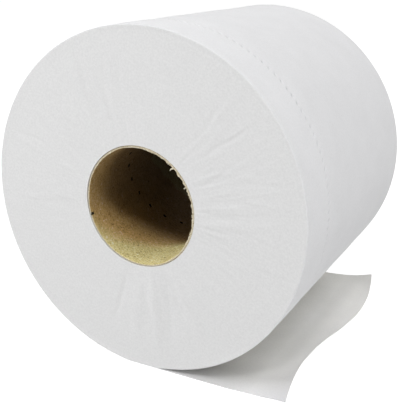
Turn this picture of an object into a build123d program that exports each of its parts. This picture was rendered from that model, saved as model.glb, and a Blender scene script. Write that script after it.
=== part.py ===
from build123d import *
import math
import os

os.makedirs("parts", exist_ok=True)

# A centrefeed paper roll lying on its side. Sizes are in millimetres.
# The axis runs along Y, the floor is z = 0, the loose end of the web lies towards +X.
roll_diameter = 190.0
roll_width = 170.0
core_bore_diameter = 64.0
core_wall = 1.5
core_recess = 0.5
core_gap = 0.1
web_thickness = 0.4
flat_spot_width = 18.0

# The loose end: how far it reaches from the axis, how much further at the back than at the front,
# and how its free edge lifts from the front corner to the back corner.
tail_reach = 87.0
tail_skew = 4.0
tail_flat_reach = 26.0
tail_sections = 4
tail_curl = 3
front_corner_height = 1.5
front_wave_height = 8.0
front_wave_share = 0.2
middle_height = 3.6
middle_share = 0.5
calm_height = 0.4
calm_share = 0.78
back_corner_height = 5.5

# The turns that show on both ends, drawn as one spiral groove.
turns_shown = 5
turn_groove_width = 0.9
turn_groove_depth = 0.5

# The ring of small slanted pits that holds the two plies together.
emboss_from_front = 30.0
emboss_spacing = 4.5
emboss_length = 2.4
emboss_depth = 0.45
emboss_slant = 35.0
emboss_clear_of_floor = 12.0

# The helical row of tear slits in the core.
slit_helix_pitch = 100.0
slits_per_turn = 20
slit_length = 2.4
slit_width = 1.0
slit_end_margin = 4.0
slit_row_start = 3.0

# How far a cutting shape stands out of the skin it cuts.
cut_margin = 0.3

roll_radius = roll_diameter / 2
half_width = roll_width / 2
flat_half = flat_spot_width / 2
core_bore_radius = core_bore_diameter / 2
core_radius = core_bore_radius + core_wall
paper_bore_radius = core_radius + core_gap
axis_height = math.sqrt(roll_radius**2 - flat_half**2)

# The outer turn is a two-centre spiral: the right half is half a web smaller than the left half,
# so that the web comes round to lie exactly one thickness above its own loose end.
right_centre = axis_height + web_thickness / 2
right_radius = roll_radius - web_thickness / 2
nip_x = math.sqrt(right_radius**2 - (right_centre - web_thickness) ** 2)


def section_point(x, z):
    return (x, -half_width, z)


top = section_point(0, axis_height + roll_radius)
left_foot = section_point(-flat_half, 0)
nip = section_point(nip_x, web_thickness)
left_mid = section_point(-roll_radius, axis_height)
right_mid = section_point(right_radius, right_centre)
outline = Wire(
    [
        Edge.make_three_point_arc(left_foot, left_mid, top),
        Edge.make_three_point_arc(top, right_mid, nip),
        Edge.make_line(nip, section_point(tail_flat_reach, web_thickness)),
        Edge.make_line(section_point(tail_flat_reach, web_thickness), section_point(tail_flat_reach, 0)),
        Edge.make_line(section_point(tail_flat_reach, 0), left_foot),
    ]
)
paper = extrude(Face(outline), amount=roll_width, dir=(0, 1, 0))


# The lifting part of the loose end, from its flat root out to the free edge.
edge_heights = [
    (0.0, front_corner_height),
    (front_wave_share, front_wave_height),
    (middle_share, middle_height),
    (calm_share, calm_height),
    (1.0, back_corner_height),
]


def lift_points(run, rise):
    points = []
    for place, height in edge_heights:
        edge_x = tail_reach + (place - 0.5) * tail_skew
        x = tail_flat_reach + run * (edge_x - tail_flat_reach)
        points.append(Vector(x, -half_width + place * roll_width, run**tail_curl * height + rise))
    return points


def tail_section(run):
    under = lift_points(run, 0.0)
    over = lift_points(run, web_thickness)
    return Face(
        Wire(
            [
                Edge.make_spline(under),
                Edge.make_line(under[-1], over[-1]),
                Edge.make_spline(over),
                Edge.make_line(over[0], under[0]),
            ]
        )
    )


paper += loft([tail_section(place / (tail_sections - 1)) for place in range(tail_sections)])

bore_tool = Cylinder(paper_bore_radius, roll_width + 2 * cut_margin)
paper -= Pos(0, 0, axis_height) * Rot(90, 0, 0) * bore_tool

# The spiral groove on each end, half a turn at a time, from the outside inwards.
turn_pitch = (roll_radius - paper_bore_radius) / (turns_shown + 1)
mouth_reach = turn_groove_width / 2 * (1 + cut_margin / turn_groove_depth)


def half_turn(centre, radius, start, side):
    floor_y = side * (half_width - turn_groove_depth)
    mouth_y = side * (half_width + cut_margin)
    line_z = centre + start * radius
    corners = [(0, floor_y, line_z), (0, mouth_y, line_z + mouth_reach), (0, mouth_y, line_z - mouth_reach)]
    return revolve(Face(Wire.make_polygon(corners)), Axis((0, 0, centre), (0, 1, 0)), 180)


grooves = []
for side in (-1, 1):
    for turn in range(turns_shown):
        left_radius = roll_radius - (turn + 0.5) * turn_pitch
        grooves.append(half_turn(axis_height, left_radius, -1, side))
        grooves.append(half_turn(axis_height + turn_pitch / 2, left_radius - turn_pitch / 2, 1, side))
paper -= grooves

# The ring of pits, each a short slanted notch with a sharp floor.
pit_count = round(math.pi * roll_diameter / emboss_spacing)
pit_side = 2 * emboss_depth
pit_lift = pit_side / math.sqrt(2) - emboss_depth
pits = []
for number in range(pit_count):
    angle = 2 * math.pi * (number + 0.5) / pit_count
    across = math.sin(angle)
    upward = math.cos(angle)
    if across < 0:
        centre, radius = axis_height, roll_radius
    else:
        centre, radius = right_centre, right_radius
    seat = (radius * across, emboss_from_front - half_width, centre + radius * upward)
    if seat[2] > emboss_clear_of_floor:
        skin = Plane(origin=seat, x_dir=(0, 1, 0), z_dir=(across, 0, upward))
        notch = Pos(0, 0, pit_lift) * Rot(45, 0, 0) * Box(emboss_length, pit_side, pit_side)
        pits.append(skin * Rot(0, 0, emboss_slant) * notch)
paper -= pits

# The core, a plain tube with a row of slits that winds along it.
core_length = roll_width - 2 * core_recess
tube = Cylinder(core_radius, core_length) - Cylinder(core_bore_radius, core_length)
core = Pos(0, 0, axis_height) * Rot(90, 0, 0) * tube
wall_middle = core_bore_radius + core_wall / 2
slit_limit = core_length / 2 - slit_end_margin
slit_step = slit_helix_pitch / slits_per_turn
slit_count = math.ceil(2 * roll_width / slit_step)
slits = []
for number in range(slit_count):
    along = slit_row_start - roll_width + number * slit_step
    angle = -2 * math.pi * number / slits_per_turn
    if abs(along) < slit_limit:
        across = math.sin(angle)
        upward = math.cos(angle)
        seat = (wall_middle * across, along, axis_height + wall_middle * upward)
        wall = Plane(origin=seat, x_dir=(upward, 0, -across), z_dir=(across, 0, upward))
        slits.append(wall * Box(slit_length, slit_width, 2 * core_wall))
core -= slits

export_step(paper, "parts/paper_web.step")
export_step(core, "parts/core_tube.step")
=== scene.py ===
import math
from collections import namedtuple

import bmesh
import bpy
import numpy as np
from mathutils import Matrix, Vector


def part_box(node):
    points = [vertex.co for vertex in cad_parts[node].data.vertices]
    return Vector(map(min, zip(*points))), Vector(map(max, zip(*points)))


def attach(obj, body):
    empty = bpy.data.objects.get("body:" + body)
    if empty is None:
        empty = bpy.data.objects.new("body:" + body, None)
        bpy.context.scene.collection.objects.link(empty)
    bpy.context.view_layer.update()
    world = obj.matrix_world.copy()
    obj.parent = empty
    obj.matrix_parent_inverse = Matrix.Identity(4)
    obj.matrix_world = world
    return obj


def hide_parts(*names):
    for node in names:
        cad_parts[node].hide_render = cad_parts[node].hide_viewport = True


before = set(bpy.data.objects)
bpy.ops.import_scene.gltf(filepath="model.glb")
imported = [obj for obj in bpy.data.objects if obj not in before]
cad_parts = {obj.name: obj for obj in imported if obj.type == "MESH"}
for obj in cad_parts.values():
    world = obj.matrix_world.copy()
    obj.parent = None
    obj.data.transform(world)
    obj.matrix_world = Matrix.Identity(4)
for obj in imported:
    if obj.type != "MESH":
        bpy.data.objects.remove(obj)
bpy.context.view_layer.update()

# The roll's sizes in metres. The outer sizes come from the frame, to a tenth of a millimetre, and
# the others are as in the solids.
paper_low, paper_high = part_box("paper_web")
core_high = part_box("core_tube")[1]
ROLL_RADIUS = round(-paper_low[0], 4)
HALF_WIDTH = round(paper_high[1], 4)
CORE_RADIUS = round(core_high[0], 4)
CORE_HALF = round(core_high[1], 4)
CORE_WALL = 0.0015
CORE_GAP = 0.0001
CORE_BORE_RADIUS = CORE_RADIUS - CORE_WALL
PAPER_BORE_RADIUS = CORE_RADIUS + CORE_GAP
FLAT_HALF = 0.009
WEB = 0.0004
AXIS_HEIGHT = math.sqrt(ROLL_RADIUS**2 - FLAT_HALF**2)
RIGHT_CENTRE = AXIS_HEIGHT + WEB / 2
RIGHT_RADIUS = ROLL_RADIUS - WEB / 2
NIP_X = math.sqrt(RIGHT_RADIUS**2 - (RIGHT_CENTRE - WEB) ** 2)

# Each side of the roll's outline has this many steps, and the embossed marks lie a few steps apart.
ARC_STEPS = 387
MARK_STEPS = 6
RIGHT_TURN = math.atan2(NIP_X, WEB - RIGHT_CENTRE)
EMBOSS_SPACING = MARK_STEPS * ROLL_RADIUS * RIGHT_TURN / ARC_STEPS
EMBOSS_Y = 0.030 - HALF_WIDTH
EMBOSS_SLANT = 0.7

random = np.random.default_rng(7)


def smooth(low, high, value):
    """A soft step from 0 at low to 1 at high."""
    share = np.clip((value - low) / (high - low), 0.0, 1.0)
    return share * share * (3 - 2 * share)


def bell(value, width, power=2):
    """1 at zero, falling off at about the given width."""
    return np.exp(-((value / width) ** power))


def soft_noise(x, y, waves, low, high):
    """A smooth sum of sine waves, from -1 to 1 or so, with wavelengths between low and high."""
    total = np.zeros(np.broadcast(x, y).shape)
    for _ in range(waves):
        heading = random.uniform(0, 2 * math.pi)
        wave_number = 2 * math.pi / random.uniform(low, high)
        run = x * math.cos(heading) + y * math.sin(heading)
        total = total + np.sin(wave_number * run + random.uniform(0, 2 * math.pi))
    return total / math.sqrt(waves)


class Shell:
    """The points and faces of one piece, with the number of each face's material."""

    def __init__(self, vertices=(), faces=()):
        self.vertices = list(vertices)
        self.faces = list(faces)
        self.kinds = [0] * len(self.faces)

    def points(self, block):
        """Add a grid of points and return the grid of their numbers."""
        start = len(self.vertices)
        self.vertices.extend(block.reshape(-1, 3).tolist())
        return start + np.arange(block.shape[0] * block.shape[1]).reshape(block.shape[:2])

    def face(self, kind, *corners):
        self.faces.append(tuple(int(corner) for corner in corners))
        self.kinds.append(kind)

    def band(self, kind, a, b):
        """The faces between two rows of points."""
        for j in range(len(a) - 1):
            self.face(kind, a[j], b[j], b[j + 1], a[j + 1])

    def hoop(self, kind, rows):
        """The faces between each row of points and the next, and between the last and the first."""
        for i in range(len(rows)):
            self.band(kind, rows[i], rows[(i + 1) % len(rows)])


SHARP_ANGLE = math.radians(40)


def new_object(name, shell, materials):
    """A smooth object made from a shell, with its faces turned outwards."""
    mesh = bpy.data.meshes.new(name)
    mesh.from_pydata(shell.vertices, [], shell.faces)
    for material in materials:
        mesh.materials.append(material)
    mesh.polygons.foreach_set("material_index", np.array(shell.kinds, dtype=np.int32))
    fix = bmesh.new()
    fix.from_mesh(mesh)
    bmesh.ops.recalc_face_normals(fix, faces=fix.faces)
    fix.to_mesh(mesh)
    fix.free()
    mesh.shade_smooth()
    mesh.set_sharp_from_angle(angle=SHARP_ANGLE)
    piece = bpy.data.objects.new(name, mesh)
    bpy.context.scene.collection.objects.link(piece)
    return piece


# What the materials are made with.
Place = namedtuple("Place", "point x along z angle radius")
Bump = namedtuple("Bump", "height strength distance")


def rgba(colour):
    """A colour with its alpha. One number stands for a grey."""
    parts = colour if isinstance(colour, tuple) else (colour, colour, colour)
    return (*parts, 1.0)


class Nodes:
    """A node tree, with short names for the nodes that are used here."""

    def __init__(self, tree):
        self.tree = tree

    def new(self, kind):
        return self.tree.nodes.new("ShaderNode" + kind)

    def feed(self, socket, value):
        """Give a socket a number, or what another node puts out."""
        if isinstance(value, (int, float)):
            socket.default_value = value
        else:
            self.tree.links.new(value, socket)

    def math(self, operation, *values):
        node = self.new("Math")
        node.operation = operation
        for socket, value in zip(node.inputs, values):
            self.feed(socket, value)
        return node.outputs[0]

    def plus(self, a, b):
        return self.math("ADD", a, b)

    def minus(self, a, b):
        return self.math("SUBTRACT", a, b)

    def times(self, a, b):
        return self.math("MULTIPLY", a, b)

    def over(self, a, b):
        return self.math("DIVIDE", a, b)

    def absolute(self, value):
        return self.math("ABSOLUTE", value)

    def beyond(self, a, b):
        """How much a is more than b, or 0."""
        return self.math("MAXIMUM", self.minus(a, b), 0.0)

    def blend(self, first, *others):
        """A sum of values, each given with its share."""
        total = self.times(*first)
        for value, share in others:
            total = self.plus(total, self.times(value, share))
        return total

    def about_axis(self):
        """Where a point is, with its angle and radius about the roll's axis."""
        point = self.new("TexCoord").outputs["Object"]
        parts = self.new("SeparateXYZ")
        self.feed(parts.inputs[0], point)
        x, along, z = parts.outputs
        up = self.minus(z, AXIS_HEIGHT)
        angle = self.math("ARCTAN2", x, up)
        radius = self.math("SQRT", self.plus(self.times(x, x), self.times(up, up)))
        return Place(point, x, along, z, angle, radius)

    def stretched(self, a, a_scale, b, b_scale):
        """A vector from two values, each at its own scale."""
        node = self.new("CombineXYZ")
        self.feed(node.inputs["X"], self.times(a, a_scale))
        self.feed(node.inputs["Y"], self.times(b, b_scale))
        return node.outputs[0]

    def noise(self, vector, scale=1.0, detail=3.0, roughness=0.55):
        node = self.new("TexNoise")
        node.inputs["Scale"].default_value = scale
        node.inputs["Detail"].default_value = detail
        node.inputs["Roughness"].default_value = roughness
        self.feed(node.inputs["Vector"], vector)
        return node.outputs["Fac"]

    def ramp(self, value, stops):
        """Colours between stops. Each stop is a place with a colour or a grey."""
        node = self.new("ValToRGB")
        elements = node.color_ramp.elements
        while len(elements) < len(stops):
            elements.new(0.5)
        for element, (position, colour) in zip(elements, stops):
            element.position = position
            element.color = rgba(colour)
        self.feed(node.inputs["Fac"], value)
        return node.outputs["Color"]

    def multiply(self, a, b, share=1.0):
        """Colour a, tinted with colour b by the given share."""
        node = self.new("Mix")
        node.data_type = "RGBA"
        node.blend_type = "MULTIPLY"
        self.feed(node.inputs["Factor"], share)
        self.feed(node.inputs["A"], a)
        self.feed(node.inputs["B"], b)
        return node.outputs["Result"]

    def bumps(self, *layers):
        """A normal with layers of bumps."""
        normal = None
        for layer in layers:
            node = self.new("Bump")
            node.inputs["Strength"].default_value = layer.strength
            node.inputs["Distance"].default_value = layer.distance
            self.feed(node.inputs["Height"], layer.height)
            if normal is not None:
                self.feed(node.inputs["Normal"], normal)
            normal = node.outputs["Normal"]
        return normal


def new_material(name, roughness, specular):
    """A new material, its nodes and its shader's inputs."""
    material = bpy.data.materials.new(name)
    material.use_nodes = True
    material.node_tree.nodes.clear()
    nodes = Nodes(material.node_tree)
    shader = nodes.new("BsdfPrincipled")
    nodes.feed(nodes.new("OutputMaterial").inputs["Surface"], shader.outputs["BSDF"])
    shader.inputs["Roughness"].default_value = roughness
    shader.inputs["Specular IOR Level"].default_value = specular
    return material, nodes, shader.inputs


# The paper's tones, from its darkest to its palest fibres, and the tint of the embossed marks, which is
# partly painted shade.
SIDE_TONES = [(0.34, (0.760, 0.760, 0.770)), (0.66, (0.828, 0.828, 0.839))]
END_TONES = [(0.34, (0.742, 0.742, 0.743)), (0.66, (0.818, 0.818, 0.817))]
PRESSED_AND_SHADE_TINTS = [(0.1, 1.0), (0.6, (0.72, 0.72, 0.73))]

# The tints along the roll's axis, by the place in fifths of a metre with the middle at 0.5: painted
# light on the strip in front of the embossed line, and painted light and shadow on the loose end.
FRONT_STRIP_PAINTED_LIGHT = [(0.15, 1.045), (0.20, 1.04), (0.34, 1.0)]
WIDTH_PAINTED_LIGHT_AND_SHADE = [
    (0.08, (0.85, 0.855, 0.89)),
    (0.15, (0.755, 0.755, 0.765)),
    (0.24, (1.0, 1.0, 0.99)),
    (0.58, (1.09, 1.09, 1.08)),
    (0.72, (1.03, 1.03, 1.02)),
    (0.88, (0.90, 0.90, 0.89)),
]

# What counts as the loose end, by height in fiftieths of a metre, and its painted light, paler and
# warmer where it lifts, and the light that comes through it, by the distance sideways from the axis in
# tenths of a metre.
SHEET_HEIGHTS = [(0.42, 1.0), (0.60, 0.0)]
REACH_PAINTED_LIGHT = [
    (0.40, (1.0, 0.99, 0.94)),
    (0.52, (1.0, 0.99, 0.94)),
    (0.66, (1.11, 1.10, 1.05)),
    (0.84, (0.95, 0.94, 0.91)),
]
LIGHT_THROUGH = [(0.35, 0.10), (0.66, 0.50), (0.84, 0.25)]
LIGHT_RADIUS = (1.0, 1.0, 0.9)
LIGHT_SCALE = 0.002


def pressed_marks_and_shade(nodes, at, cloud):
    """The tint of the embossed marks: greyer where pressed denser, and partly painted shade in their
    dents.
    """
    mark_half = 0.0014
    narrowness = 4.5
    clear_of_floor = 0.015
    from_line = nodes.minus(at.along, EMBOSS_Y)
    lap = nodes.blend((at.angle, ROLL_RADIUS), (from_line, EMBOSS_SLANT))
    phase = nodes.math("FRACT", nodes.over(lap, EMBOSS_SPACING))
    from_mark = nodes.absolute(nodes.minus(phase, 0.5))
    near = nodes.beyond(1.0, nodes.times(from_mark, narrowness))
    inside = nodes.beyond(1.0, nodes.over(nodes.absolute(from_line), mark_half))
    shown = nodes.math("GREATER_THAN", at.z, clear_of_floor)
    uneven = nodes.plus(nodes.times(cloud, 1.2), 0.3)
    pressed = nodes.times(nodes.times(near, inside), nodes.times(shown, uneven))
    return nodes.ramp(pressed, PRESSED_AND_SHADE_TINTS)


def tissue_side():
    """The outside of the web: creped tissue with fine cross lines and loose fibres."""
    material, nodes, inputs = new_material("tissue_side", roughness=0.92, specular=0.2)
    at = nodes.about_axis()
    crepe = nodes.noise(nodes.stretched(at.angle, 95.0, at.along, 120.0), scale=9.0, detail=4.0)
    fibres = nodes.noise(at.point, scale=1000.0, detail=4.0, roughness=0.7)
    cloud = nodes.noise(at.point, scale=60.0)
    colour = nodes.ramp(nodes.blend((cloud, 0.3), (fibres, 0.7)), SIDE_TONES)
    # Painted shade, in part: the embossed marks are tinted grey.
    colour = nodes.multiply(colour, pressed_marks_and_shade(nodes, at, cloud))
    # Painted light: the strip in front of the embossed line is made a little paler than the rest, as if
    # lit more.
    width_place = nodes.plus(nodes.times(at.along, 5.0), 0.5)
    colour = nodes.multiply(colour, nodes.ramp(width_place, FRONT_STRIP_PAINTED_LIGHT))
    # The loose end is one sheet thick, so light comes through it, most of all where it lifts.
    sheet = nodes.ramp(nodes.times(at.z, 50.0), SHEET_HEIGHTS)
    reach = nodes.times(at.x, 10.0)
    # Painted light and shade on the loose end: paler and warmer where it lifts, a painted shadow along
    # its front and darker towards its back.
    colour = nodes.multiply(colour, nodes.ramp(reach, REACH_PAINTED_LIGHT), sheet)
    colour = nodes.multiply(colour, nodes.ramp(width_place, WIDTH_PAINTED_LIGHT_AND_SHADE), sheet)
    nodes.feed(inputs["Base Color"], colour)
    nodes.feed(inputs["Subsurface Weight"], nodes.times(sheet, nodes.ramp(reach, LIGHT_THROUGH)))
    inputs["Subsurface Radius"].default_value = LIGHT_RADIUS
    inputs["Subsurface Scale"].default_value = LIGHT_SCALE
    creped = Bump(crepe, strength=0.25, distance=0.0002)
    fibrous = Bump(fibres, strength=0.2, distance=0.00015)
    nodes.feed(inputs["Normal"], nodes.bumps(creped, fibrous))
    inputs["Sheen Weight"].default_value = 0.08
    inputs["Sheen Roughness"].default_value = 0.6
    return material


def tissue_end():
    """The wound ends: hundreds of cut edges, seen as fine grain with faint rings and ripples."""
    material, nodes, inputs = new_material("tissue_end", roughness=0.95, specular=0.15)
    at = nodes.about_axis()
    rings = nodes.noise(nodes.stretched(at.angle, 1.2, at.radius, 900.0), detail=5.0, roughness=0.7)
    ripples = nodes.noise(nodes.stretched(at.angle, 30.0, at.radius, 40.0))
    fibres = nodes.noise(at.point, scale=850.0, detail=4.0, roughness=0.7)
    tone = nodes.blend((rings, 0.15), (fibres, 0.85))
    nodes.feed(inputs["Base Color"], nodes.ramp(tone, END_TONES))
    ringed = Bump(rings, strength=0.06, distance=0.0002)
    rippled = Bump(ripples, strength=0.25, distance=0.0004)
    fibrous = Bump(fibres, strength=0.3, distance=0.0003)
    nodes.feed(inputs["Normal"], nodes.bumps(ringed, rippled, fibrous))
    return material


FLAT_SPOT_STEPS = 23


def section():
    """The outline of the roll: up the right side from the nip, over the top, down the left side and
    along the flat spot to the point under the nip."""
    right = np.linspace(RIGHT_TURN, 0.0, ARC_STEPS + 1)
    left = np.linspace(0.0, math.atan2(FLAT_HALF, -AXIS_HEIGHT), ARC_STEPS + 1)[1:]
    flat = np.linspace(-FLAT_HALF, NIP_X, FLAT_SPOT_STEPS + 1)[1:]
    right_z = RIGHT_CENTRE + RIGHT_RADIUS * np.cos(right)
    left_z = AXIS_HEIGHT + ROLL_RADIUS * np.cos(left)
    left_z[-1] = 0.0
    x = np.concatenate([RIGHT_RADIUS * np.sin(right), -ROLL_RADIUS * np.sin(left), flat])
    z = np.concatenate([right_z, left_z, 0 * flat])
    return x, z


# The outline's points, the direction away from the axis at each of them, and its bearing.
outline_x, outline_z = section()
from_axis = np.hypot(outline_x, outline_z - AXIS_HEIGHT)
outward_x = outline_x / from_axis
outward_z = (outline_z - AXIS_HEIGHT) / from_axis
turn = np.arctan2(outward_x, outward_z)

# How much each point of the outline may be rounded and dented: nothing on the flat spot and at the
# nip, and fully a little way from them.
NIP_FADE = (0.002, 0.014)
FLAT_SPOT_FADE = (0.001, 0.014)
from_nip = np.concatenate([[0], np.cumsum(np.hypot(np.diff(outline_x), np.diff(outline_z)))])
to_flat_spot = from_nip[-FLAT_SPOT_STEPS] - from_nip
free = smooth(*NIP_FADE, from_nip) * smooth(*FLAT_SPOT_FADE, to_flat_spot)

# The stations along the width: close together at the rims and at the embossed line.
RIM = 0.0005
rim_steps = np.array([0.0, 0.00005, 0.00015, 0.0003, RIM])
middle_steps = np.concatenate(
    [
        [0.002, 0.005, 0.010, 0.016, 0.022, 0.0262],
        np.linspace(0.0280, 0.0320, 9),
        [0.0338, 0.038, 0.044],
        np.linspace(0.052, 0.160, 15),
        [0.165, 0.168],
    ]
)
stations = np.concatenate([rim_steps, middle_steps, 2 * HALF_WIDTH - rim_steps[::-1]]) - HALF_WIDTH
from_end = HALF_WIDTH - np.abs(stations)
rounding = RIM - np.sqrt(np.maximum(0, RIM**2 - (RIM - from_end) ** 2))
inset = np.where(from_end < RIM, rounding, 0.0)

# The side's unevenness, its embossed marks and the low bank that they lie in.
UNEVENNESS = 0.00012
UNEVEN_FADE = 0.01
MARK_DEPTH = 0.00085
MARK_WIDTH = 0.0008
MARK_REACH = 0.0012
BANK_HEIGHT = 0.00015
BANK_WIDTH = 0.0024


def side_of_roll():
    """The side of the roll, in rows along its width."""
    turn_grid, along = np.meshgrid(turn, stations, indexing="ij")
    lap = turn_grid * ROLL_RADIUS
    uneven = UNEVENNESS * soft_noise(lap, along, waves=14, low=0.025, high=0.09)
    from_line = along - EMBOSS_Y
    phase = ((lap + EMBOSS_SLANT * from_line) / EMBOSS_SPACING) % 1.0 - 0.5
    mark = MARK_DEPTH * bell(phase * EMBOSS_SPACING, MARK_WIDTH) * bell(from_line, MARK_REACH, 4)
    bank = BANK_HEIGHT * bell(from_line, BANK_WIDTH)
    radial = free[:, None] * (uneven * smooth(0.0, UNEVEN_FADE, from_end) + bank - mark - inset)
    x = outline_x[:, None] + radial * outward_x[:, None]
    z = outline_z[:, None] + radial * outward_z[:, None]
    return np.stack([x, along, z], axis=-1)


# The loose end: flat at its root, then lifting to a free edge. The edge's lift and its distance
# from the axis are given at a few places from the front corner, 0, to the back corner, 1.
TAIL_FLAT = 0.026
TAIL_CURL = 3
LIFT_PLACES = [0.0, 0.2, 0.5, 0.78, 1.0]
LIFT_HEIGHTS = [0.0015, 0.0080, 0.0036, 0.0004, 0.0055]
EDGE_PLACES = [0.0, 0.2, 0.5, 0.75, 1.0]
EDGE_REACH = [0.0865, 0.0840, 0.0880, 0.0900, 0.0840]
FLAT_STEPS = 20
LIFT_STEPS = 60
CREASE = 0.00025
CREASE_CLEARANCE = 0.0006
CREASE_FADE = 0.3


def curve_through(places, values, where):
    """A polynomial through a few points, worked out at other places."""
    return np.polyval(np.polyfit(places, values, len(places) - 1), where)


def loose_end():
    """The underside of the loose end, in rows along its width, from the nip to the free edge."""
    width_place = (stations + HALF_WIDTH) / (2 * HALF_WIDTH)
    edge_x = curve_through(EDGE_PLACES, EDGE_REACH, width_place)
    edge_lift = curve_through(LIFT_PLACES, LIFT_HEIGHTS, width_place)
    flat_x = np.linspace(NIP_X, TAIL_FLAT, FLAT_STEPS + 1)[1:]
    flat_rows = np.repeat(flat_x[:, None], len(stations), axis=1)
    run = np.linspace(0.0, 1.0, LIFT_STEPS + 1)[1:, None]
    x = np.concatenate([flat_rows, TAIL_FLAT + run * (edge_x - TAIL_FLAT)])
    y = np.broadcast_to(stations, x.shape)
    z = np.concatenate([0 * flat_rows, run**TAIL_CURL * edge_lift])
    crease = CREASE * soft_noise(x, y, waves=16, low=0.014, high=0.05)
    crease *= np.minimum(1.0, z / CREASE_CLEARANCE)
    crease[FLAT_STEPS:] *= smooth(0.0, CREASE_FADE, run)
    return np.stack([x, y, np.maximum(z + crease, 0.0)], axis=-1)


# The wrinkles on the wound ends fan out from the core. Each zone has its bearings in degrees from
# the top, its number of wrinkles and their greatest height, and in metres the range of their length,
# how far from the bore they start at most, and the range of their width.
Zone = namedtuple("Zone", "low high count strong short long spread thin thick")
ZONES = [
    Zone(40, 104, 50, 0.00013, 0.025, 0.060, 0.010, 0.0008, 0.0020),
    Zone(38, 112, 50, 0.00012, 0.018, 0.045, 0.034, 0.0007, 0.0014),
    Zone(100, 138, 12, 0.00014, 0.015, 0.040, 0.010, 0.0010, 0.0024),
    Zone(146, 160, 6, 0.00075, 0.038, 0.058, 0.008, 0.0022, 0.0045),
    Zone(168, 194, 9, 0.00042, 0.030, 0.056, 0.010, 0.0014, 0.0034),
    Zone(-40, -8, 14, 0.00034, 0.034, 0.060, 0.012, 0.0010, 0.0028),
    Zone(-95, -55, 12, 0.00020, 0.010, 0.035, 0.030, 0.0008, 0.0020),
    Zone(-180, 180, 90, 0.00008, 0.008, 0.030, 0.040, 0.0008, 0.0020),
]
FIRST_START = -0.006
DRIFT = 0.35
SWAY_SIZES = (0.003, 0.012)
SWAY_LENGTHS = (0.003, 0.007)
SWAY_STARTS = (0.0, 6.28)
BROAD_WAVES = 0.00006
FINE_WAVES = 0.00003
RIM_FADE = 0.04
BORE_FADE = 0.03
LIP = 0.0001
LIP_FADE = (0.010, 0.028)


def wrinkle(zone, angle, radius):
    """The height of one wrinkle, up or down, at each point of an end."""
    bearing = math.radians(random.uniform(zone.low, zone.high))
    start = PAPER_BORE_RADIUS + random.uniform(FIRST_START, zone.spread)
    length = random.uniform(zone.short, zone.long)
    width = random.uniform(zone.thin, zone.thick)
    drift = random.uniform(-DRIFT, DRIFT)
    height = zone.strong * random.uniform(0.4, 1.0) * random.choice([-1.0, 1.0])
    sway_size = random.uniform(*SWAY_SIZES)
    sway_length = random.uniform(*SWAY_LENGTHS)
    sway = sway_size * np.sin(radius / sway_length + random.uniform(*SWAY_STARTS))
    path = bearing + drift * (radius - start) / ROLL_RADIUS + sway
    gap = (angle - path + math.pi) % (2 * math.pi) - math.pi
    rise = smooth(start - 0.002, start + 0.3 * length, radius)
    fall = smooth(start + length, start + 0.6 * length, radius)
    return height * bell(gap * radius, width) * rise * fall


def end_rings(side, rim, fractions):
    """Rings of points on one end, from just inside the rim to the paper's bore."""
    bore_x = PAPER_BORE_RADIUS * outward_x[:, None]
    bore_z = AXIS_HEIGHT + PAPER_BORE_RADIUS * outward_z[:, None]
    x = bore_x + (rim[:, :1] - bore_x) * fractions
    z = bore_z + (rim[:, 2:] - bore_z) * fractions
    radius = np.hypot(x, z - AXIS_HEIGHT)
    height = np.zeros(radius.shape)
    for zone in ZONES:
        for _ in range(zone.count):
            height += wrinkle(zone, turn[:, None], radius)
    height += BROAD_WAVES * soft_noise(x, z, waves=12, low=0.02, high=0.07)
    height += FINE_WAVES * soft_noise(x, z, waves=30, low=0.006, high=0.012)
    height *= smooth(0.0, RIM_FADE, 1 - fractions) * smooth(0.0, BORE_FADE, fractions)
    height -= LIP * smooth(*LIP_FADE, 1 - fractions)
    return np.stack([x, side * (HALF_WIDTH + height), z], axis=-1)


# The places of the rings on the two ends, from 1 at the rim to 0 at the bore, and the paper's kinds
# of face.
FRONT_RINGS = np.concatenate([[0.994, 0.986, 0.978, 0.970], np.linspace(0.955, 0.02, 32), [0.0]])
BACK_RINGS = np.concatenate([[0.994, 0.982, 0.970], np.linspace(0.93, 0.04, 12), [0.0]])
SIDE_PAPER, END_PAPER = range(2)


def paper_shell():
    """The wound paper with its loose end, closed all round."""
    shell = Shell()
    side = side_of_roll()
    tail = loose_end()
    roll = shell.points(side)
    under = shell.points(tail)
    over = shell.points(tail + np.array([0.0, 0.0, WEB]))
    front = shell.points(end_rings(-1, side[:, 0], FRONT_RINGS))
    back = shell.points(end_rings(1, side[:, -1], BACK_RINGS))
    shell.hoop(SIDE_PAPER, np.concatenate([roll, under, over[::-1]]))
    shell.hoop(END_PAPER, np.concatenate([roll[:, :1], front], axis=1))
    shell.hoop(END_PAPER, np.concatenate([roll[:, -1:], back], axis=1))
    shell.hoop(SIDE_PAPER, np.stack([front[:, -1], back[:, -1]], axis=1))
    top_rows = np.concatenate([roll[:1], over])
    low_rows = np.concatenate([roll[-1:], under])
    for end in (0, -1):
        shell.band(SIDE_PAPER, top_rows[:, end], low_rows[:, end])
    return shell


paper = new_object("wound_paper", paper_shell(), [tissue_side(), tissue_end()])
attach(paper, "root")
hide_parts("paper_web")

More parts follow.
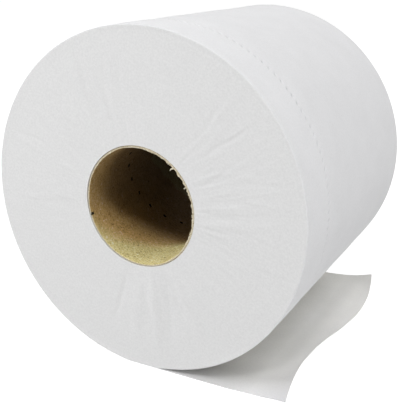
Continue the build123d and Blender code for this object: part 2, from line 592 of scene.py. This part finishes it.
# The core: a board tube with a winding row of tear slits and a rough cut edge. Its wall is a grid
# of angles and stations that is laid out around the slits, so that each slit fills whole cells.
# The slits are numbered along their row, one to a sector.
SECTORS = 20
SECTOR = 2 * math.pi / SECTORS
SLIT_CELLS = 5
CLEAR_CELLS = 7
SLIT_ANGLE = 0.0011 / CORE_BORE_RADIUS
SLIT_HALF = 0.0008
SLIT_DEPTH = 0.0013
SLIT_STEP = 0.005
SLIT_LIMIT = 0.0805
ROW_START = 0.003 - 2 * HALF_WIDTH
FIRST_SLIT = 17
SLIT_ROWS = 34
CLEAR_STATIONS = (0.0018, 0.0032)
EDGE_STEPS = np.array([0.0007, 0.0002, 0.0])
SAME_PLACE = 0.00001
slit_marks = np.linspace(-SLIT_ANGLE, SLIT_ANGLE, SLIT_CELLS + 1)
clear_marks = np.linspace(SLIT_ANGLE, SECTOR - SLIT_ANGLE, CLEAR_CELLS + 1)[1:-1]
cell_marks = np.concatenate([slit_marks, clear_marks])
core_turn = (np.arange(SECTORS)[:, None] * SECTOR + cell_marks).ravel()
slit_numbers = FIRST_SLIT + np.arange(SLIT_ROWS)
slit_places = ROW_START + SLIT_STEP * slit_numbers
row_stations = (slit_places[:, None] + np.array([-SLIT_HALF, SLIT_HALF, *CLEAR_STATIONS])).ravel()
edge_stations = CORE_HALF - EDGE_STEPS
row_stations = row_stations[row_stations < edge_stations[0] - SAME_PLACE]
core_stations = np.concatenate([-edge_stations[::-1], row_stations, edge_stations])

# The front edge is torn from the top round to the lower right, and has one notch on the left.
# Angles are in radians, clockwise from the top.
TORN_START = (0.0, 0.3)
TORN_END = (2.5, 1.9)
torn = smooth(*TORN_START, core_turn) * smooth(*TORN_END, core_turn)
NOTCH = 2 * math.pi - 1.845
NOTCH_HALF = 0.02
NOTCH_DEPTH = 0.0007
NOTCH_CELLS = 3
PALE_WHERE_TORN = 0.3

# The wall's winding step and unevenness, and the flare and roughness of its edges. What has two
# values has the first on a clean edge and the second on a torn one, and the jag has its share at
# each of three stations.
WINDING_PITCH = 0.1
WINDING_START = 0.1
WINDING_STEP = 0.00016
WINDING_SEAM = 0.985
WALL_UNEVENNESS = 0.00008
FLARE = (0.00035, 0.00010)
FLARE_LENGTH = 0.0012
JAG = (0.00005, 0.00055)
JAG_SHARES = {0: 1.0, 1: 0.6, -1: 0.1}
TORN_LENGTH = 0.00035
GRAIN = (0.00005, 0.00023)
RIM_RADIUS = 0.0329
RIM_CROWN = 0.00005
RIM_SLOPE = 0.0006

# The core's kinds of face.
BOARD, EDGE, SLIT_SHADE, FLAKE = range(4)


def where_torn(sizes):
    """A size along the core's edge, from its clean value to its torn one."""
    clean, ragged = sizes
    return clean + (ragged - clean) * torn


def core_wall():
    """The inner wall: board wound in a helix, flared at both edges and ragged at the front."""
    angle, along = np.meshgrid(core_turn, core_stations, indexing="ij")
    helix = (angle / (2 * math.pi) + along / WINDING_PITCH + WINDING_START) % 1.0
    step = WINDING_STEP * (helix - smooth(WINDING_SEAM, 1.0, helix))
    lap = angle * CORE_BORE_RADIUS
    uneven = WALL_UNEVENNESS * soft_noise(lap, along, waves=12, low=0.012, high=0.05)
    near_edge = smooth(FLARE_LENGTH, 0.0, CORE_HALF - np.abs(along))
    radius = CORE_BORE_RADIUS + step + uneven + where_torn(FLARE)[:, None] * near_edge
    jag = random.uniform(-1.0, 0.7, len(core_turn)) * where_torn(JAG)
    jag = jag + NOTCH_DEPTH * bell(core_turn - NOTCH, NOTCH_HALF)
    for station, share in JAG_SHARES.items():
        radius[:, station] += share * jag
    wall = np.stack([radius * np.sin(angle), along, AXIS_HEIGHT + radius * np.cos(angle)], axis=-1)
    wall[:, 0, 1] += TORN_LENGTH * torn * random.uniform(-0.6, 1.0, len(core_turn))
    return wall


def core_ring(radius, y):
    """A ring of points about the axis."""
    return np.stack([radius * np.sin(core_turn), y, AXIS_HEIGHT + radius * np.cos(core_turn)], axis=-1)


def core_rims():
    """The cut edges, each as an inner and an outer ring, rough where the edge is torn."""
    grain = random.uniform(-1.0, 1.0, len(core_turn)) * where_torn(GRAIN)
    front_in = core_ring(RIM_RADIUS, -CORE_HALF - RIM_CROWN + grain)
    front_out = core_ring(CORE_RADIUS, -CORE_HALF + RIM_SLOPE + 0.3 * grain)
    back_out = core_ring(CORE_RADIUS, CORE_HALF + 0 * grain)
    back_in = core_ring(RIM_RADIUS, CORE_HALF + RIM_CROWN - 0.3 * grain)
    return np.stack([front_in, front_out, back_out, back_in], axis=1)


def add_slit(shell, wall, numbers, start, row):
    """One blind slit, in the cells from the given start on."""
    spot = slice(start, start + SLIT_CELLS + 1)
    outward = np.stack([np.sin(core_turn[spot]), 0 * core_turn[spot], np.cos(core_turn[spot])], axis=-1)
    deep = shell.points(wall[spot, row : row + 2] + SLIT_DEPTH * outward[:, None, :])
    lip = numbers[spot, row : row + 2]
    for a, b in ((deep[:, 0], deep[:, 1]), (lip[:, 0], deep[:, 0]), (lip[:, 1], deep[:, 1])):
        shell.band(SLIT_SHADE, a, b)
    for end in (0, -1):
        shell.band(SLIT_SHADE, lip[end], deep[end])


def wall_kind(i, j):
    """The material of one cell of the wall: painted shade in the notch, paler at the torn edge."""
    if abs(core_turn[i] - NOTCH) < NOTCH_HALF and j < NOTCH_CELLS:
        return SLIT_SHADE
    if j in (0, len(core_stations) - 2) and torn[i] > PALE_WHERE_TORN:
        return EDGE
    return BOARD


# Loose flakes of board on the torn edge, each with its angle, half width, length and tilt forwards.
Flake = namedtuple("Flake", "angle half length tilt")
FLAKES = [
    Flake(0.31, 0.0009, 0.0005, 0.5),
    Flake(0.47, 0.0014, 0.0006, 0.7),
    Flake(0.62, 0.0006, 0.0009, 0.4),
    Flake(0.72, 0.0005, 0.0024, 0.9),
    Flake(0.93, 0.0009, 0.0005, 0.4),
    Flake(1.09, 0.0006, 0.0015, 0.8),
    Flake(1.55, 0.0009, 0.0005, 0.6),
    Flake(1.93, 0.0007, 0.0005, 0.5),
]
FLAKE_ROOT_RADIUS = 0.0326
FLAKE_ROOT_DEPTH = 0.0001
FLAKE_ROWS = 4
FLAKE_TAPER = 0.6
FLAKE_HALF_THICKNESS = 0.00007


def add_flake(shell, flake):
    """One ragged flake that reaches in over the hole and a little way out of it."""
    outward = np.array([math.sin(flake.angle), 0.0, math.cos(flake.angle)])
    sideways = np.array([math.cos(flake.angle), 0.0, -math.sin(flake.angle)])
    forwards = np.array([0.0, -1.0, 0.0])
    reach = math.sin(flake.tilt) * forwards - math.cos(flake.tilt) * outward
    thick = FLAKE_HALF_THICKNESS * np.cross(reach, sideways)
    root = np.array([0.0, -CORE_HALF + FLAKE_ROOT_DEPTH, AXIS_HEIGHT]) + FLAKE_ROOT_RADIUS * outward
    rows = []
    for run in np.linspace(0.0, 1.0, FLAKE_ROWS):
        spine = root + reach * flake.length * run + sideways * flake.half * random.uniform(-0.3, 0.3)
        span = sideways * flake.half * (1 - FLAKE_TAPER * run) * random.uniform(0.7, 1.1)
        left = spine - span
        right = spine + span
        rows.append([left + thick, right + thick, right - thick, left - thick])
    numbers = shell.points(np.array(rows))
    shell.hoop(FLAKE, numbers.T)
    shell.face(FLAKE, *numbers[0])
    shell.face(FLAKE, *numbers[-1])


def core_shell():
    """The core with its slits, closed all round, and the loose flakes."""
    shell = Shell()
    wall = core_wall()
    numbers = shell.points(wall)
    rims = shell.points(core_rims())
    slit_cells = set()
    for number, place in zip(slit_numbers, slit_places):
        if abs(place) < SLIT_LIMIT:
            row = int(np.argmin(np.abs(core_stations - (place - SLIT_HALF))))
            start = int(-number % SECTORS) * len(cell_marks)
            add_slit(shell, wall, numbers, start, row)
            slit_cells.update((start + cell, row) for cell in range(SLIT_CELLS))
    for i in range(len(core_turn)):
        after = (i + 1) % len(core_turn)
        for j in range(len(core_stations) - 1):
            if (i, j) not in slit_cells:
                shell.band(wall_kind(i, j), numbers[i, j : j + 2], numbers[after, j : j + 2])
    shell.hoop(EDGE, np.stack([numbers[:, 0], rims[:, 0], rims[:, 1]], axis=1))
    shell.hoop(BOARD, rims[:, 1:3])
    shell.hoop(EDGE, np.stack([rims[:, 2], rims[:, 3], numbers[:, -1]], axis=1))
    for flake in FLAKES:
        add_flake(shell, flake)
    return shell


# The board's tones, from its darkest to its palest specks, and its tints: by the two winding strips, and
# the painted shade, by the distance from the core's middle in tenths of a metre and by height from
# bottom to top.
BOARD_TONES = [
    (0.38, (0.30, 0.22, 0.10)),
    (0.46, (0.74, 0.63, 0.28)),
    (0.54, (0.92, 0.82, 0.39)),
    (0.60, (1.0, 0.99, 0.80)),
]
STRIP_TINTS = [(0.0, 1.0), (0.46, 1.0), (0.54, (0.94, 0.72, 0.62)), (1.0, (0.90, 0.70, 0.62))]
DEPTH_PAINTED_SHADE = [
    (0.0, (0.32, 0.30, 0.31)),
    (0.30, (0.34, 0.32, 0.33)),
    (0.56, (0.49, 0.47, 0.48)),
    (0.70, 1.0),
]
HEIGHT_PAINTED_SHADE = [
    (0.0, 1.0),
    (0.12, (0.96, 0.95, 0.94)),
    (0.30, (0.72, 0.71, 0.70)),
    (0.45, (0.54, 0.53, 0.53)),
    (0.62, (0.46, 0.45, 0.45)),
    (1.0, (0.40, 0.39, 0.40)),
]
FIBRE_SLOPE = 0.5
PALE_FLECKS = 0.70
DARK_FLECKS = 0.29
STRIP_PITCH = 0.17
STRIP_START = 0.243


def greyboard():
    """Recycled board in two winding strips, speckled and fibrous, with painted shade that darkens it
    further in and towards the top.
    """
    material, nodes, inputs = new_material("greyboard", roughness=0.85, specular=0.2)
    at = nodes.about_axis()
    lap = nodes.times(at.angle, CORE_BORE_RADIUS)
    wound = nodes.plus(lap, nodes.times(at.along, FIBRE_SLOPE))
    across = nodes.minus(at.along, nodes.times(lap, FIBRE_SLOPE))
    fibres = nodes.noise(nodes.stretched(wound, 250.0, across, 1400.0), detail=4.0, roughness=0.6)
    speckle = nodes.noise(at.point, scale=1000.0, detail=5.0, roughness=0.8)
    blotch = nodes.noise(at.point, scale=110.0, roughness=0.5)
    # A few pale and dark flecks are left by recycled fibres.
    flecks = nodes.noise(at.point, scale=620.0, detail=0.0)
    pale = nodes.beyond(flecks, PALE_FLECKS)
    dark = nodes.beyond(DARK_FLECKS, flecks)
    tone = nodes.blend((speckle, 0.65), (fibres, 0.25), (blotch, 0.10), (pale, 0.8), (dark, -0.5))
    # The border between the two strips is a little ragged.
    laps = nodes.plus(nodes.over(at.along, STRIP_PITCH), nodes.times(at.angle, 0.5 / math.pi))
    ragged = nodes.blend((blotch, 0.06), (speckle, 0.10))
    strip = nodes.math("FRACT", nodes.plus(nodes.plus(laps, STRIP_START), ragged))
    # Painted shade: the board is palest near the open ends and along the bottom, and darker further in
    # and towards the top.
    height = nodes.plus(nodes.times(nodes.math("COSINE", at.angle), 0.5), 0.5)
    lower = nodes.math("MAXIMUM", nodes.times(nodes.minus(0.25, height), 0.45), -0.08)
    from_middle = nodes.plus(nodes.times(nodes.absolute(at.along), 10.0), lower)
    colour = nodes.multiply(nodes.ramp(tone, BOARD_TONES), nodes.ramp(strip, STRIP_TINTS))
    painted_shade = nodes.multiply(nodes.ramp(from_middle, DEPTH_PAINTED_SHADE), nodes.ramp(height, HEIGHT_PAINTED_SHADE))
    nodes.feed(inputs["Base Color"], nodes.multiply(colour, painted_shade))
    fibrous = Bump(fibres, strength=0.35, distance=0.0003)
    speckled = Bump(speckle, strength=0.35, distance=0.0004)
    nodes.feed(inputs["Normal"], nodes.bumps(fibrous, speckled))
    return material


def board_edge(name, dark, mid, pale):
    """The cut edge of the board, with the plies' ends showing."""
    material, nodes, inputs = new_material(name, roughness=0.9, specular=0.2)
    at = nodes.about_axis()
    plies = nodes.noise(nodes.stretched(at.angle, 14.0, at.radius, 2600.0))
    fuzz = nodes.noise(at.point, scale=1600.0, detail=4.0, roughness=0.7)
    tone = nodes.blend((plies, 0.55), (fuzz, 0.45))
    nodes.feed(inputs["Base Color"], nodes.ramp(tone, [(0.38, dark), (0.5, mid), (0.62, pale)]))
    nodes.feed(inputs["Normal"], nodes.bumps(Bump(fuzz, strength=0.4, distance=0.0003)))
    return material


# The materials, in the order of the core's kinds of face.
board_materials = [
    greyboard(),
    board_edge("board_edge", (0.45, 0.36, 0.21), (0.69, 0.61, 0.44), (0.83, 0.78, 0.64)),
    # The slits and the notch are painted near black, as painted shade.
    board_edge("slit_painted_shade", (0.012, 0.008, 0.004), (0.022, 0.015, 0.008), (0.05, 0.035, 0.018)),
    board_edge("torn_board", (0.52, 0.45, 0.31), (0.72, 0.67, 0.52), (0.85, 0.82, 0.70)),
]
core = new_object("board_core", core_shell(), board_materials)
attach(core, "root")
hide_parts("core_tube")

# The floor and the backdrop are plain white. They don't throw light back on the roll: the world's
# lower half does that.
REACH = 6.0
WALL_FOOT = -0.1
WALL_SIDES = 48
FLOOR_DROP = 0.00015
FLOOR_LIGHT = 0.89


def white_stage(name, shell, grey, glow):
    """A piece of the stage, which glows but throws no light on the roll."""
    material, _, inputs = new_material(name, roughness=0.9, specular=0.0)
    inputs["Base Color"].default_value = rgba(grey)
    inputs["Emission Color"].default_value = rgba(1.0)
    inputs["Emission Strength"].default_value = glow
    stage = new_object(name, shell, [material])
    stage.visible_diffuse = False
    stage.visible_glossy = False
    return stage


def round_wall():
    """A wall all the way round."""
    bearing = np.arange(WALL_SIDES) * 2 * math.pi / WALL_SIDES
    foot = np.stack([REACH * np.cos(bearing), REACH * np.sin(bearing), WALL_FOOT + 0 * bearing], axis=-1)
    head = foot * (1, 1, 0) + (0, 0, REACH)
    shell = Shell()
    shell.hoop(0, shell.points(np.stack([foot, head], axis=1)))
    return shell


floor_corners = [(-REACH, -REACH, 0), (REACH, -REACH, 0), (REACH, REACH, 0), (-REACH, REACH, 0)]
floor = white_stage("floor", Shell(floor_corners, [(0, 1, 2, 3)]), grey=0.2, glow=0.95)
floor.location.z = -FLOOR_DROP
backdrop = white_stage("backdrop", round_wall(), grey=0.0, glow=1.0)
backdrop.visible_shadow = False

world = bpy.data.worlds.new("studio")
world.use_nodes = True
sky = Nodes(world.node_tree)
direction = sky.new("SeparateXYZ")
sky.feed(direction.inputs[0], sky.new("TexCoord").outputs["Generated"])
raised = sky.math("GREATER_THAN", direction.outputs["Z"], 0.0)
light_from_below = sky.ramp(raised, [(0.0, FLOOR_LIGHT), (1.0, 0.0)])
sky.feed(world.node_tree.nodes["Background"].inputs["Color"], light_from_below)
bpy.context.scene.world = world

# The lights, each with its place from the roll's middle in metres. The two keys are suns with a
# spread in degrees and a strength, and the soft lights are squares with a size and a power.
MIDDLE = Vector((0.0, 0.0, ROLL_RADIUS))
KEYS = [
    ("key_right", (0.334, -1.0, 1.533), 9, 0.74),
    ("key_left", (-1.03, -1.0, 1.60), 7, 0.57),
]
SOFT_LIGHTS = [
    ("soft_left", (-1.5, -0.2, 0.9), 1.2, 9.0),
    ("soft_left_front", (-0.45, -0.75, 0.30), 0.5, 1.85),
    ("soft_right", (1.5, -0.2, 0.9), 1.2, 8.8),
    ("soft_right_back", (1.3, 0.9, 0.8), 1.2, 1.0),
    ("soft_back", (0.0, 1.4, 1.0), 1.2, 9.0),
    ("soft_front", (-0.3, -1.6, 0.5), 1.2, 0.4),
    ("soft_over", (0.2, 0.0, 1.4), 1.2, 3.2),
    ("soft_near", (0.20, -0.12, 0.40), 0.25, 0.16),
]


def add_light(name, kind, place, power):
    """A new light that points at the roll's middle. Its data is returned."""
    data = bpy.data.lights.new(name, kind)
    data.energy = power
    light = bpy.data.objects.new(name, data)
    bpy.context.scene.collection.objects.link(light)
    light.location = MIDDLE + Vector(place)
    light.rotation_euler = (MIDDLE - light.location).to_track_quat("-Z", "Y").to_euler()
    return data


for name, place, spread, power in KEYS:
    sun = add_light(name, "SUN", place, power)
    sun.angle = math.radians(spread)
for name, place, size, power in SOFT_LIGHTS:
    square = add_light(name, "AREA", place, power)
    square.size = size

# The camera, with its turns in radians and its focal length in pixels of the square photograph.
CAMERA_PLACE = Vector((0.2024, -0.3085 - HALF_WIDTH, 0.2197))
YAW, PITCH, ROLL = -0.4899, -0.3204, -0.0047
FOCAL_PIXELS = 732.85
PHOTO_PIXELS = 403
SENSOR = 36.0
forward = Vector((math.sin(YAW) * math.cos(PITCH), math.cos(YAW) * math.cos(PITCH), math.sin(PITCH)))
level = Vector((math.cos(YAW), -math.sin(YAW), 0.0))
upright = level.cross(forward)
right = math.cos(ROLL) * level + math.sin(ROLL) * upright
up = math.cos(ROLL) * upright - math.sin(ROLL) * level
camera_data = bpy.data.cameras.new("camera")
camera_data.sensor_fit = "HORIZONTAL"
camera_data.sensor_width = SENSOR
camera_data.lens = FOCAL_PIXELS / PHOTO_PIXELS * SENSOR
camera_data.clip_end = 100.0
camera = bpy.data.objects.new("camera", camera_data)
axes = Matrix((right, up, -forward)).transposed().to_4x4()
camera.matrix_world = Matrix.Translation(CAMERA_PLACE) @ axes
bpy.context.scene.collection.objects.link(camera)
bpy.context.scene.camera = camera
bpy.context.scene.view_settings.view_transform = "Standard"
